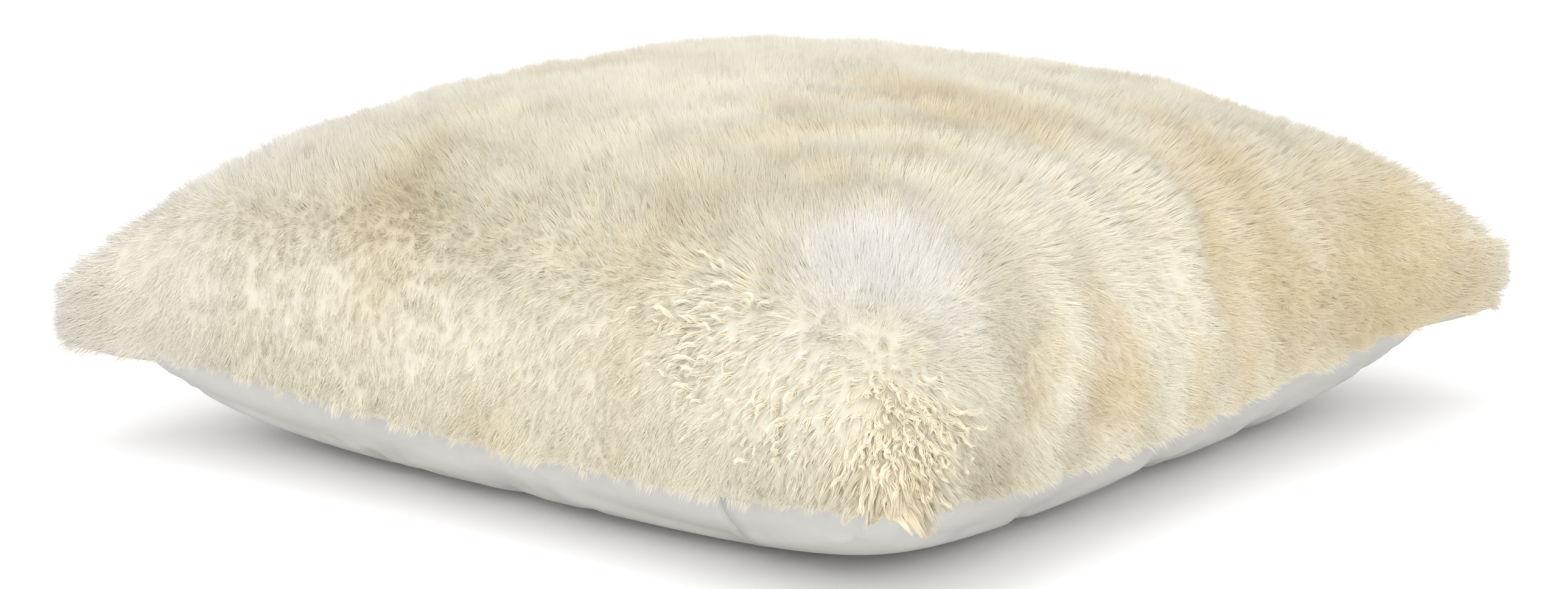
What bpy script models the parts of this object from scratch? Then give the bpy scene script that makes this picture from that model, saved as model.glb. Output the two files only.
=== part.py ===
"""Square pet cushion bed: a sheepskin top with its wool on, a cotton underside with a zip across
it, and a fibre-filled insert in cotton ticking. Metres, +Z up. The origin is on the floor, under
the middle of the cushion, and its sides run along X and Y."""

import math

import bmesh
import bpy
from mathutils import Matrix, Vector

# Filled cover
COVER_SIDE = 0.570  # seam corner to seam corner, along X and along Y
SIDE_PULL = 0.016  # how far the middle of a side is drawn in
PULL_START = 0.70  # share of the half side that stays straight
CORNER_HEIGHT = 0.0765  # seam above the floor, mean of the four corners
CORNER_TWIST = 0.0065  # two opposite corners stand this much higher, the other two lower
SEAM_SAG = 0.020  # how much lower the seam hangs at the middle of a side
CROWN_HEIGHT = 0.190  # top of the skin at the centre
TOP_POWER = 2.9  # how far out the crown stays full
TOP_ROOT = 0.43  # how round the top meets the seam
BELLY_POWER = 3.0
BELLY_ROOT = 0.33
BELLY_FULL = 1.15  # over 1, so that the middle of the underside lies flat

# Materials' thicknesses
PILE_DEPTH = 0.024
PILE_SKIRT = 0.012  # how far the wool hangs below the seam
SKIRT_FLARE = 0.0022  # and how far its inner edge stands out there
PILE_SMOOTHING = 0.5  # rounds the outside of the wool
PILE_SMOOTHING_PASSES = 3
HIDE_THICK = 0.0015
FABRIC_THICK = 0.0008
TICKING_THICK = 0.0005
LABEL_THICK = 0.0004
FIT = 0.0003  # gap between pieces that touch
SEAM_GAP = 0.0006  # between the two allowances, and round them inside the binding
TICKING_GAP = 0.0009  # between the two allowances of the insert

# Seams
ALLOWANCE = 0.010  # width of the cover's turned-in seam allowance
BINDING_LEG = 0.0035
BINDING_THICK = 0.0004
THREAD_RADIUS = 0.0004
STITCH_INSET = 0.0035  # cover's stitching line, from the seam
INSERT_INSET = 0.016  # insert's seam, inside the cover's
INSERT_GAP = 0.0005  # between the cover's skin and the insert at the crown
INSERT_ALLOWANCE = 0.006
INSERT_STITCH_INSET = 0.003
FILL_INSET = 0.009  # filling's edge, inside the insert's seam
FILL_GAP = 0.0005

# Zip, across the underside and parallel to Y
FLAP_WIDTH = 0.120  # from the +X corners to the zip
CHAIN_SLOT = 0.0016  # between the two halves of the chain
COIL_WIDTH = 0.0024
COIL_HEIGHT = 0.0016
TAPE_WIDTH = 0.0130
TAPE_THICK = 0.0006
FABRIC_SLOT = 0.0080  # between the two panels along the zip
SLOT_CLOSE = 0.010  # length over which the panels come together past the zip
CHANNEL_FLAT = 0.0155  # half width of the channel's level part
CHANNEL_SIDE = 0.025  # width of its sloping side
INSERT_CHANNEL_WIDER = 0.003  # on each side, and as much again for the filling
STOP_LENGTH = 0.0030
TACK_SIZE = (0.0090, 0.0026, 0.0009)
TACK_AT = 0.8  # share of the closing length
TOPSTITCH_OFFSET = 0.0090  # topstitching, from the middle of the zip
SLIDER_LENGTH = 0.011
SLIDER_WIDTH = 0.0100
SLIDER_LIP = 0.0014  # wall beside the chain
SLIDER_WEB = 0.0010  # between the two halves of the chain
SLIDER_TOP_WIDTH = 0.0064
PLATE_THICK = 0.0010
BRIDGE_CLEAR = 0.0015  # bridge above the floor
BRIDGE_WIRE = 0.0008
BRIDGE_THICK = 0.0016
BRIDGE_LENGTH = 0.0090
BRIDGE_LEG = 0.0013
TAB_LENGTH = 0.022
TAB_WIDTH = 0.0064
TAB_THICK = 0.0010
TAB_PLAY = 0.00025  # above and below the tab's bar in the bridge
TAB_BAR = 0.0010
WINDOW_WIDTH = 0.0026
WINDOW_LENGTH = 0.0048
TAB_TIP_CLEAR = 0.0002  # tip of the tab above the floor

# Care label, at the back seam
LABEL_AT = -0.62  # share of the half side
LABEL_SIZE = (0.030, 0.024)
LABEL_DROP = 0.004  # top edge, below the seam

# Grid lines
GRID_LINES = 15
CHANNEL_STEPS = (0.0, 0.3, 0.6, 1.0)  # shares of the channel's sloping side
CLOSEST_LINES = 0.006
CORNER_CLEAR = 0.013  # seams have no points this close to a corner, other than the corner
DRAWN_AT = 1e4  # scale at which small flat outlines are filled

HALF = COVER_SIDE / 2
ZIP_X = HALF - FLAP_WIDTH

# Heights of the zip's layers, from the floor up
BRIDGE_TOP = BRIDGE_CLEAR + BRIDGE_WIRE
TAB_AXIS_Z = BRIDGE_TOP + TAB_PLAY + TAB_THICK / 2
PLATE_Z = TAB_AXIS_Z + TAB_THICK / 2 + TAB_PLAY
COIL_Z = PLATE_Z + PLATE_THICK + FIT
TAPE_Z = COIL_Z + COIL_HEIGHT + FIT
UPPER_Z = TAPE_Z + TAPE_THICK + FIT
CHANNEL_Z = TAPE_Z - FIT - FABRIC_THICK
INSERT_CHANNEL_Z = UPPER_Z + PLATE_THICK + 2 * FIT

MATERIALS = {  # colour, roughness, metallic
    "wool": ((0.86, 0.79, 0.67), 0.95, 0.0),
    "hide": ((0.80, 0.71, 0.58), 0.80, 0.0),
    "cotton": ((0.83, 0.82, 0.80), 0.88, 0.0),
    "ticking": ((0.88, 0.88, 0.86), 0.90, 0.0),
    "fibre": ((0.93, 0.93, 0.93), 1.00, 0.0),
    "thread": ((0.80, 0.78, 0.74), 0.70, 0.0),
    "tape": ((0.78, 0.77, 0.74), 0.80, 0.0),
    "coil": ((0.82, 0.81, 0.78), 0.45, 0.0),
    "nickel": ((0.62, 0.61, 0.59), 0.30, 1.0),
    "label": ((0.90, 0.90, 0.89), 0.60, 0.0),
}


def clear_scene():
    for obj in list(bpy.data.objects):
        bpy.data.objects.remove(obj)


def new_collection(name):
    found = bpy.data.collections.new(name)
    bpy.context.scene.collection.children.link(found)
    return found


def material(name):
    found = bpy.data.materials.get(name)
    if found:
        return found
    colour, rough, metal = MATERIALS[name]
    found = bpy.data.materials.new(name)
    found.use_nodes = True
    shader = found.node_tree.nodes["Principled BSDF"]
    shader.inputs["Base Color"].default_value = (*colour, 1.0)
    shader.inputs["Roughness"].default_value = rough
    shader.inputs["Metallic"].default_value = metal
    found.diffuse_color = (*colour, 1.0)
    return found


def add(name, data, slot):
    obj = bpy.data.objects.new(name, data)
    data.materials.append(material(slot))
    parts.objects.link(obj)
    return obj


# Shape of the cushion. u and v run from -1 to 1 across it, and are on the seam at their ends.


def smooth(t):
    t = min(max(t, 0.0), 1.0)
    return t * t * (3 - 2 * t)


def drawn_in(a, b, half):
    """One plan coordinate: straight lines in the middle, sides drawn in between the corners."""
    pull = SIDE_PULL * (1 - b * b) * smooth((abs(a) - PULL_START) / (1 - PULL_START))
    return half * a - math.copysign(pull, a)


def seam_height(u, v):
    return CORNER_HEIGHT - SEAM_SAG * (1 - (u * v) ** 2) + CORNER_TWIST * u * v


def swell(u, v, power, root):
    return max((1 - abs(u) ** power) * (1 - abs(v) ** power), 0.0) ** root


def top_point(u, v, half, crown, lift):
    seam = seam_height(u, v) + lift
    rise = (crown - seam_height(0, 0) - lift) * swell(u, v, TOP_POWER, TOP_ROOT)
    return Vector((drawn_in(u, v, half), drawn_in(v, u, half), seam + rise))


def belly_height(u, v, ground, drop):
    full = min(1.0, BELLY_FULL * swell(u, v, BELLY_POWER, BELLY_ROOT))
    return ground + (seam_height(u, v) - drop - ground) * (1 - full)


def channel_height(x, ground, level, flat):
    """Height of the channel that the zip lies in, over the ground it is sunk into."""
    return ground + (level - ground) * (1 - smooth((abs(x - ZIP_X) - flat) / CHANNEL_SIDE))


def under_point(u, v, half, ground, drop, level, flat):
    x = drawn_in(u, v, half)
    z = max(belly_height(u, v, ground, drop), channel_height(x, ground, level, flat))
    if max(abs(u), abs(v)) == 1:
        z = seam_height(u, v) - drop
    return Vector((x, drawn_in(v, u, half), z))


def zip_reach():
    """Half the length over which the underside stays at the zip's level."""
    low, high = 0.0, 1.0
    for _ in range(40):
        middle = (low + high) / 2
        if belly_height((ZIP_X + CHANNEL_FLAT) / HALF, middle, 0.0, 0.0) < CHANNEL_Z - FIT:
            low = middle
        else:
            high = middle
    return low * HALF


ZIP_END = zip_reach()
CHAIN_END = ZIP_END - 0.004
COIL_END = CHAIN_END - STOP_LENGTH - FIT


def rounded_lines(count):
    """Lines that lie closer together towards the seam, where the surface turns down."""
    return [math.sin(math.pi / 2 * (2 * i / (count - 1) - 1)) for i in range(count)]


def with_fixed(lines, fixed):
    """The same lines, with some at set places in metres, and none too close to those."""
    near = CLOSEST_LINES / HALF
    fixed = [place / HALF for place in fixed]
    kept = [line for line in lines if all(abs(line - f) > near for f in fixed)]
    return sorted(kept + fixed)


def cover_lines():
    """Lines of constant u and of constant v for the cover, the zip's edges and ends among them."""
    steps = [FABRIC_SLOT / 2] + [CHANNEL_FLAT + CHANNEL_SIDE * share for share in CHANNEL_STEPS]
    places = [ZIP_X + side * step for step in steps for side in (-1, 1)]
    ends = [side * (ZIP_END + past) for past in (0.0, SLOT_CLOSE) for side in (-1, 1)]
    lines = rounded_lines(GRID_LINES)
    return with_fixed(lines, places), with_fixed(lines, ends)


def inner_lines(lines, half):
    """The cover's lines again, over a piece inside it, so that flat faces never cross."""
    places = [line * HALF for line in lines]
    return [-1.0] + [p / half for p in places if abs(p) < half - CLOSEST_LINES / 2] + [1.0]


# Building blocks


def sheet(across, along, point):
    """A grid with a vertex for each pair of lines. Returns it and each vertex's (u, v)."""
    bm = bmesh.new()
    bmesh.ops.create_grid(bm, x_segments=len(across) - 1, y_segments=len(along) - 1, size=1.0)
    marks = {}
    for vert in bm.verts:
        u = across[round((vert.co.x + 1) / 2 * (len(across) - 1))]
        v = along[round((vert.co.y + 1) / 2 * (len(along) - 1))]
        marks[vert] = (u, v)
        vert.co = point(u, v)
    # The quad in each corner is split along the ridge, so that the corner isn't cut flat.
    for vert in [v for v in bm.verts if abs(marks[v][0]) == 1 and abs(marks[v][1]) == 1]:
        near = {v for edge in vert.link_edges for v in edge.verts}
        across_face = [v for v in vert.link_faces[0].verts if v not in near]
        bmesh.ops.connect_verts(bm, verts=[vert] + across_face)
    return bm, marks


def on_seam(mark):
    return max(abs(mark[0]), abs(mark[1])) == 1


def fold_rim(bm, marks, inward, down=0.0):
    """Adds a strip along the perimeter seam, turned in level and mitred, or hanging down."""
    rim = [e for e in bm.edges if e.is_boundary and all(on_seam(marks[v]) for v in e.verts)]
    places = {tuple(v.co): marks[v] for e in rim for v in e.verts}
    limit = max(abs(place[1]) for place in places) - inward
    made = bmesh.ops.extrude_edge_only(bm, edges=rim)["geom"]
    made = [g for g in made if isinstance(g, bmesh.types.BMVert)]
    for vert in made:
        u, v = places[tuple(vert.co)]
        vert.co.z -= down
        if min(abs(vert.co.x), abs(vert.co.y)) > limit:
            corner = (math.copysign(1, u), math.copysign(1, v))
            z = vert.co.z + seam_height(*corner) - seam_height(u, v)
            vert.co = (corner[0] * limit, corner[1] * limit, z)
        else:
            vert.co.x -= inward * math.copysign(abs(u) == 1, u)
            vert.co.y -= inward * math.copysign(abs(v) == 1, v)
    bmesh.ops.remove_doubles(bm, verts=made, dist=1e-6)


def finish_sheet(name, bm, slot, thickness, offset, under=False):
    """Gives a sheet its thickness. One that faces down is turned over first."""
    if under:
        bmesh.ops.reverse_faces(bm, faces=bm.faces)
    mesh = bpy.data.meshes.new(name)
    bm.to_mesh(mesh)
    bm.free()
    obj = add(name, mesh, slot)
    shell = obj.modifiers.new("thickness", "SOLIDIFY")
    shell.thickness = thickness
    shell.offset = offset
    shell.use_quality_normals = True
    mesh.shade_smooth()
    return obj


def block(name, slot, size, centre, bevel=0.0, turn=None):
    bm = bmesh.new()
    bmesh.ops.create_cube(bm, size=1.0, matrix=Matrix.Diagonal((*size, 1.0)))
    mesh = bpy.data.meshes.new(name)
    bm.to_mesh(mesh)
    bm.free()
    obj = add(name, mesh, slot)
    obj.location = centre
    if turn:
        obj.rotation_euler = turn
    if bevel:
        edge = obj.modifiers.new("edge", "BEVEL")
        edge.width = bevel
        edge.segments = 2
    return obj


def thread(name, points, radius, closed=False):
    curve = bpy.data.curves.new(name, "CURVE")
    curve.dimensions = "3D"
    curve.bevel_depth = radius
    curve.bevel_resolution = 1
    curve.use_fill_caps = True
    spline = curve.splines.new("POLY")
    spline.points.add(len(points) - 1)
    for place, point in zip(spline.points, points):
        place.co = (*point, 1.0)
    spline.use_cyclic_u = closed
    return add(name, curve, "thread")


def outline(name, slot, loops, half, turn):
    """A closed mesh from flat outlines, the later ones holes in the first, given a thickness.

    It is drawn ten thousand times as large, because the fill of a curve drops details under a
    millimetre."""
    curve = bpy.data.curves.new(name, "CURVE")
    curve.dimensions = "2D"
    curve.fill_mode = "BOTH"
    curve.extrude = half * DRAWN_AT
    for loop in loops:
        spline = curve.splines.new("POLY")
        spline.points.add(len(loop) - 1)
        for place, (x, y) in zip(spline.points, loop):
            place.co = (x * DRAWN_AT, y * DRAWN_AT, 0.0, 1.0)
        spline.use_cyclic_u = True
    drawn = bpy.data.objects.new(name + "_outline", curve)
    parts.objects.link(drawn)
    bpy.context.view_layer.update()
    mesh = bpy.data.meshes.new_from_object(drawn.evaluated_get(bpy.context.evaluated_depsgraph_get()))
    bpy.data.objects.remove(drawn)
    mesh.transform(Matrix.Scale(1 / DRAWN_AT, 4))
    bm = bmesh.new()
    bm.from_mesh(mesh)
    bmesh.ops.remove_doubles(bm, verts=bm.verts, dist=1e-6)
    bm.to_mesh(mesh)
    bm.free()
    mesh.materials.clear()
    obj = add(name, mesh, slot)
    obj.matrix_world = turn
    return obj


def joined(obj, others):
    for other in others:
        cutters.objects.link(other)
        parts.objects.unlink(other)
        other.hide_render = True
        other.display_type = "WIRE"
        weld = obj.modifiers.new("join_" + other.name, "BOOLEAN")
        weld.operation = "UNION"
        weld.solver = "MANIFOLD"  # the exact one leaves the upper plate's ends open
        weld.object = other


def perimeter(inset, height, half, across, along):
    """Points round the seam, this far inside it, anticlockwise from the -X -Y corner."""
    clear = 1 - CORNER_CLEAR / half
    us = [-1.0] + [u for u in across if abs(u) < clear]
    vs = [-1.0] + [v for v in along if abs(v) < clear]
    around = [(u, -1.0) for u in us] + [(1.0, v) for v in vs]
    around += [(u, 1.0) for u in [1.0] + us[:0:-1]] + [(-1.0, v) for v in [1.0] + vs[:0:-1]]
    points = []
    for u, v in around:
        x = drawn_in(u, v, half) - inset * math.copysign(abs(u) == 1, u)
        y = drawn_in(v, u, half) - inset * math.copysign(abs(v) == 1, v)
        points.append(Vector((x, y, seam_height(u, v) + height)))
    return points


# Cover


def make_top(across, along):
    lift = SEAM_GAP / 2

    def skin(u, v):
        return top_point(u, v, HALF, CROWN_HEIGHT, lift)

    bm, marks = sheet(across, along, skin)
    fold_rim(bm, marks, ALLOWANCE)
    finish_sheet("sheepskin_hide", bm, "hide", HIDE_THICK, -1)

    def root(u, v):
        return top_point(u, v, HALF + FIT, CROWN_HEIGHT + FIT, lift)

    bm, marks = sheet(across, along, root)
    fold_rim(bm, marks, -SKIRT_FLARE, PILE_SKIRT)
    pile = finish_sheet("wool_pile", bm, "wool", PILE_DEPTH, 1)

    # Only the outside is rounded, so that the inside still fits the skin.
    inside = pile.vertex_groups.new(name="inside")
    pile.modifiers["thickness"].shell_vertex_group = inside.name
    rounded = pile.modifiers.new("rounded", "SMOOTH")
    rounded.vertex_group = inside.name
    rounded.invert_vertex_group = True
    rounded.factor = PILE_SMOOTHING
    rounded.iterations = PILE_SMOOTHING_PASSES


def make_underside(across, along):
    def slot_half(v):
        """Half the gap between the panels: open along the zip, sewn shut past its ends."""
        open_share = 1 - smooth((abs(v) * HALF - ZIP_END) / SLOT_CLOSE)
        return FIT / 2 + (FABRIC_SLOT / 2 - FIT / 2) * open_share

    for name, side in (("base_panel_main", -1), ("base_panel_flap", 1)):
        lines = [u for u in across if side * (u * HALF - ZIP_X) > 0]
        edge = lines[0] if side > 0 else lines[-1]

        def point(u, v, edge=edge, side=side):
            found = under_point(u, v, HALF, 0.0, SEAM_GAP / 2, CHANNEL_Z, CHANNEL_FLAT)
            if u == edge:
                found.x = ZIP_X + side * slot_half(v)
            return found

        bm, marks = sheet(lines, along, point)
        fold_rim(bm, marks, ALLOWANCE)
        finish_sheet(name, bm, "cotton", FABRIC_THICK, -1, under=True)


def ring_edges(bm, ring):
    """The edges that join these vertices in a closed ring, made where they are missing."""
    pairs = [(ring[i - 1], ring[i]) for i in range(len(ring))]
    return [bm.edges.get(pair) or bm.edges.new(pair) for pair in pairs]


def make_seam(across, along):
    height = SEAM_GAP / 2 + HIDE_THICK + FIT + THREAD_RADIUS
    points = perimeter(STITCH_INSET, height, HALF, across, along)
    thread("perimeter_stitching", points, THREAD_RADIUS, True)

    # The binding is folded round the raw edges of both allowances.
    clear = SEAM_GAP + BINDING_THICK / 2
    above = SEAM_GAP / 2 + HIDE_THICK + clear
    below = -SEAM_GAP / 2 - FABRIC_THICK - clear
    inner = ALLOWANCE + clear
    outer = inner - BINDING_LEG
    section = [(outer, above), (inner, above), (inner, below), (outer, below)]
    bm = bmesh.new()
    rings = []
    for inset, height in section:
        points = perimeter(inset, height, HALF, across, along)
        rings.append([bm.verts.new(point) for point in points])
    for ring, after in zip(rings, rings[1:]):
        bmesh.ops.bridge_loops(bm, edges=ring_edges(bm, ring) + ring_edges(bm, after))
    bmesh.ops.recalc_face_normals(bm, faces=bm.faces)
    finish_sheet("seam_binding", bm, "tape", BINDING_THICK, 0)


def make_label():
    u = LABEL_AT
    slope = math.atan(2 * SIDE_PULL * u / HALF)
    edge = drawn_in(1.0, u, HALF)
    centre = (HALF * u, edge + FIT + LABEL_THICK, seam_height(u, 1.0) - LABEL_DROP - LABEL_SIZE[1] / 2)
    size = (LABEL_SIZE[0], LABEL_THICK, LABEL_SIZE[1])
    block("care_label", "label", size, centre, turn=(0.0, 0.0, slope))


# Zip


def make_chain():
    middle = CHAIN_SLOT / 2
    for name, side in (("main", -1), ("flap", 1)):
        x = ZIP_X + side * (middle + TAPE_WIDTH / 2)
        size = (TAPE_WIDTH, 2 * (ZIP_END - FIT), TAPE_THICK)
        block("zip_tape_" + name, "tape", size, (x, 0.0, TAPE_Z + TAPE_THICK / 2))
        x = ZIP_X + side * (middle + COIL_WIDTH / 2)
        size = (COIL_WIDTH, 2 * COIL_END, COIL_HEIGHT)
        block("zip_coil_" + name, "coil", size, (x, 0.0, COIL_Z + COIL_HEIGHT / 2), 0.0005)
        size = (COIL_WIDTH, STOP_LENGTH, COIL_HEIGHT)
        y = COIL_END + FIT + STOP_LENGTH / 2
        block("zip_top_stop_" + name, "nickel", size, (x, y, COIL_Z + COIL_HEIGHT / 2), 0.0003)
        x = ZIP_X + side * TOPSTITCH_OFFSET
        z = CHANNEL_Z - FIT - THREAD_RADIUS
        ends = [(x, -ZIP_END + 0.002, z), (x, ZIP_END - 0.002, z)]
        thread("zip_topstitch_" + name, ends, THREAD_RADIUS)
    size = (CHAIN_SLOT + 2 * COIL_WIDTH, STOP_LENGTH, COIL_HEIGHT)
    y = -COIL_END - FIT - STOP_LENGTH / 2
    block("zip_bottom_stop", "nickel", size, (ZIP_X, y, COIL_Z + COIL_HEIGHT / 2), 0.0003)


def make_tacks():
    """Bar tacks where the two panels are sewn together again, past each end of the zip."""
    u, step = ZIP_X / HALF, CHANNEL_FLAT / HALF

    def under(u, v):
        return under_point(u, v, HALF, 0.0, SEAM_GAP / 2, CHANNEL_Z, CHANNEL_FLAT)

    for name, side in (("front", -1), ("rear", 1)):
        start, end = side * ZIP_END / HALF, side * (ZIP_END + SLOT_CLOSE) / HALF
        spot = under(u, start).lerp(under(u, end), TACK_AT)
        across = (under(u + step, end) - under(u - step, end)).normalized()
        along = (under(u, end) - under(u, start)).normalized() * side
        up = across.cross(along).normalized()
        along = up.cross(across)
        turn = Matrix((across, along, up)).transposed().to_euler()
        centre = spot - up * (FIT + TACK_SIZE[2] / 2)
        block("bar_tack_" + name, "thread", TACK_SIZE, centre, 0.0003, turn)


def make_slider():
    """The slider, closed against the top stops, and the pull tab that hangs from its bridge."""
    y = COIL_END - SLIDER_LENGTH / 2 - FIT
    web = SLIDER_WEB / 2
    wide = SLIDER_WIDTH / 2
    upper = SLIDER_TOP_WIDTH / 2
    lip = wide - SLIDER_LIP
    plate_top = PLATE_Z + PLATE_THICK
    lip_top = CHANNEL_Z - FIT
    right = [(wide, PLATE_Z), (wide, lip_top), (lip, lip_top), (lip, plate_top), (web, plate_top),
             (web, UPPER_Z), (upper, UPPER_Z), (upper, UPPER_Z + PLATE_THICK)]
    section = right + [(-x, z) for x, z in reversed(right)]
    upright = Matrix.Translation((ZIP_X, y, 0.0)) @ Matrix.Rotation(math.pi / 2, 4, "X")
    slider = outline("zip_slider", "nickel", [section], SLIDER_LENGTH / 2, upright)

    reach = BRIDGE_LENGTH / 2
    inner = reach - BRIDGE_LEG
    sunk = PLATE_Z + PLATE_THICK / 2
    hoop = [(-reach, BRIDGE_CLEAR), (reach, BRIDGE_CLEAR), (reach, sunk), (inner, sunk),
            (inner, BRIDGE_TOP), (-inner, BRIDGE_TOP), (-inner, sunk), (-reach, sunk)]
    sideways = Matrix.Translation((ZIP_X, y, 0.0)) @ Matrix(
        ((0, 0, 1, 0), (1, 0, 0, 0), (0, 1, 0, 0), (0, 0, 0, 1)))
    bridge = outline("slider_bridge", "nickel", [hoop], BRIDGE_THICK / 2, sideways)
    joined(slider, [bridge])

    # Tab outline: the bar on the hinge axis, the window round the bridge's leg, a rounded tip.
    half, bar = TAB_WIDTH / 2, TAB_BAR / 2
    centre = TAB_LENGTH - half
    tip = [(half * math.cos(a), -centre - half * math.sin(a))
           for a in [math.pi * i / 8 for i in range(9)]]
    rim = [(-half, bar), (half, bar)] + tip
    window = [(-WINDOW_WIDTH / 2, -bar), (-WINDOW_WIDTH / 2, -bar - WINDOW_LENGTH),
              (WINDOW_WIDTH / 2, -bar - WINDOW_LENGTH), (WINDOW_WIDTH / 2, -bar)]
    droop = math.asin((TAB_AXIS_Z - TAB_THICK / 2 - TAB_TIP_CLEAR) / TAB_LENGTH)
    place = Matrix.Translation((ZIP_X, y, TAB_AXIS_Z)) @ Matrix.Rotation(droop, 4, "X")
    outline("zip_pull_tab", "nickel", [rim, window], TAB_THICK / 2, place)


# Insert


def make_insert(cover_across, cover_along):
    half = HALF - INSERT_INSET
    lift = TICKING_GAP / 2
    crown = CROWN_HEIGHT - HIDE_THICK - INSERT_GAP
    ground = FABRIC_THICK + FIT
    flat = CHANNEL_FLAT + INSERT_CHANNEL_WIDER
    across, along = inner_lines(cover_across, half), inner_lines(cover_along, half)
    bm, marks = sheet(across, along, lambda u, v: top_point(u, v, half, crown, lift))
    fold_rim(bm, marks, INSERT_ALLOWANCE)
    finish_sheet("insert_ticking_top", bm, "ticking", TICKING_THICK, -1)

    def under(u, v):
        return under_point(u, v, half, ground, lift, INSERT_CHANNEL_Z, flat)

    bm, marks = sheet(across, along, under)
    fold_rim(bm, marks, INSERT_ALLOWANCE)
    finish_sheet("insert_ticking_bottom", bm, "ticking", TICKING_THICK, -1, under=True)
    height = lift + TICKING_THICK + FIT + THREAD_RADIUS
    points = perimeter(INSERT_STITCH_INSET, height, half, across, along)
    thread("insert_stitching", points, THREAD_RADIUS, True)


def make_filling(cover_across, cover_along):
    half = HALF - INSERT_INSET - FILL_INSET
    crown = CROWN_HEIGHT - HIDE_THICK - INSERT_GAP - TICKING_THICK - FILL_GAP
    ground = FABRIC_THICK + FIT + TICKING_THICK + FIT
    level = INSERT_CHANNEL_Z + TICKING_THICK + FIT
    flat = CHANNEL_FLAT + 2 * INSERT_CHANNEL_WIDER
    across, along = inner_lines(cover_across, half), inner_lines(cover_along, half)
    bm, _ = sheet(across, along, lambda u, v: top_point(u, v, half, crown, 0.0))
    lower, _ = sheet(
        across, along, lambda u, v: under_point(u, v, half, ground, 0.0, level, flat))
    bmesh.ops.reverse_faces(lower, faces=lower.faces)
    mesh = bpy.data.meshes.new("fibre_filling")
    lower.to_mesh(mesh)
    lower.free()
    bm.from_mesh(mesh)
    bmesh.ops.remove_doubles(bm, verts=bm.verts, dist=1e-6)
    bm.to_mesh(mesh)
    bm.free()
    add("fibre_filling", mesh, "fibre")
    mesh.shade_smooth()


clear_scene()
parts = new_collection("pet_cushion_bed")
cutters = new_collection("cutters")
cutters.hide_render = True
grid = cover_lines()
make_top(*grid)
make_underside(*grid)
make_seam(*grid)
make_label()
make_chain()
make_tacks()
make_slider()
make_insert(*grid)
make_filling(*grid)
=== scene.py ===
import math
import time

import bpy
import numpy as np
from mathutils import Matrix, Vector, kdtree


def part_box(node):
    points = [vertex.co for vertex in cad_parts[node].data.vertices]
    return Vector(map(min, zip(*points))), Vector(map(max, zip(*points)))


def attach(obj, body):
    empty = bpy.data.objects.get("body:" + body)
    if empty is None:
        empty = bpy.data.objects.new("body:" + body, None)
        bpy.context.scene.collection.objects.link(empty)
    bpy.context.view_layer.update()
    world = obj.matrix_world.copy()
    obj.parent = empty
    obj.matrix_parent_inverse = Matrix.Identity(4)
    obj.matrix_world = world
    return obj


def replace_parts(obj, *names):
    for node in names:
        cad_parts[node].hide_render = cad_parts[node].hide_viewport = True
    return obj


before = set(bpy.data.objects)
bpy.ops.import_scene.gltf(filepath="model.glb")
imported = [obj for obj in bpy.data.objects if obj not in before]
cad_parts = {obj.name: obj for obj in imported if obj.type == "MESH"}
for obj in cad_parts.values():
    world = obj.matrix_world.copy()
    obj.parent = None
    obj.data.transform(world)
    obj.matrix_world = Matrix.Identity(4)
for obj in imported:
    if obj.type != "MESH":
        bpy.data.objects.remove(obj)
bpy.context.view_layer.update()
started = time.time()


def stageDone(words):
    print(f"{words} ({time.time() - started:.0f} s)")


def deselectAll():
    bpy.ops.object.select_all(action="DESELECT")


def activate(piece):
    deselectAll()
    piece.select_set(True)
    bpy.context.view_layer.objects.active = piece


def startEdit(piece):
    activate(piece)
    bpy.ops.object.mode_set(mode="EDIT")
    bpy.ops.mesh.select_all(action="SELECT")


def endEdit():
    bpy.ops.object.mode_set(mode="OBJECT")


def pointsOf(mesh):
    flat = np.zeros(len(mesh.vertices) * 3)
    mesh.vertices.foreach_get("co", flat)
    return flat.reshape(-1, 3)


# Camera, floor and light

view = {
    "azimuth": 38.2,
    "elevation": 12.9,
    "distance": 2.24,
    "lens": 86.8,
    "sensor": 36.0,
    "target": (0.0, 0.0, 0.087),
    "shift": (-0.0084, -0.0103),
}


def makeCamera():
    turn, tilt = math.radians(view["azimuth"]), math.radians(view["elevation"])
    back = Vector((math.sin(turn) * math.cos(tilt), -math.cos(turn) * math.cos(tilt), math.sin(tilt)))
    bpy.ops.object.camera_add(location=Vector(view["target"]) + back * view["distance"])
    camera = bpy.context.object
    camera.name = "camera"
    camera.rotation_euler = back.to_track_quat("Z", "Y").to_euler()
    camera.data.lens = view["lens"]
    camera.data.sensor_width = view["sensor"]
    camera.data.shift_x, camera.data.shift_y = view["shift"]
    bpy.context.scene.camera = camera


makeCamera()

studio = {
    "world": 1.14,
    "floor": (0.94, 0.94, 0.94),
    "floorSize": 40.0,
    "aim": (0.0, 0.0, 0.1),
    # name, place, size, power
    "lights": [
        ("overhead", (-0.2, -0.6, 2.4), 2.4, 12.0),
        ("front", (1.7, -2.1, 1.0), 2.6, 37.0),
    ],
}


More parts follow.
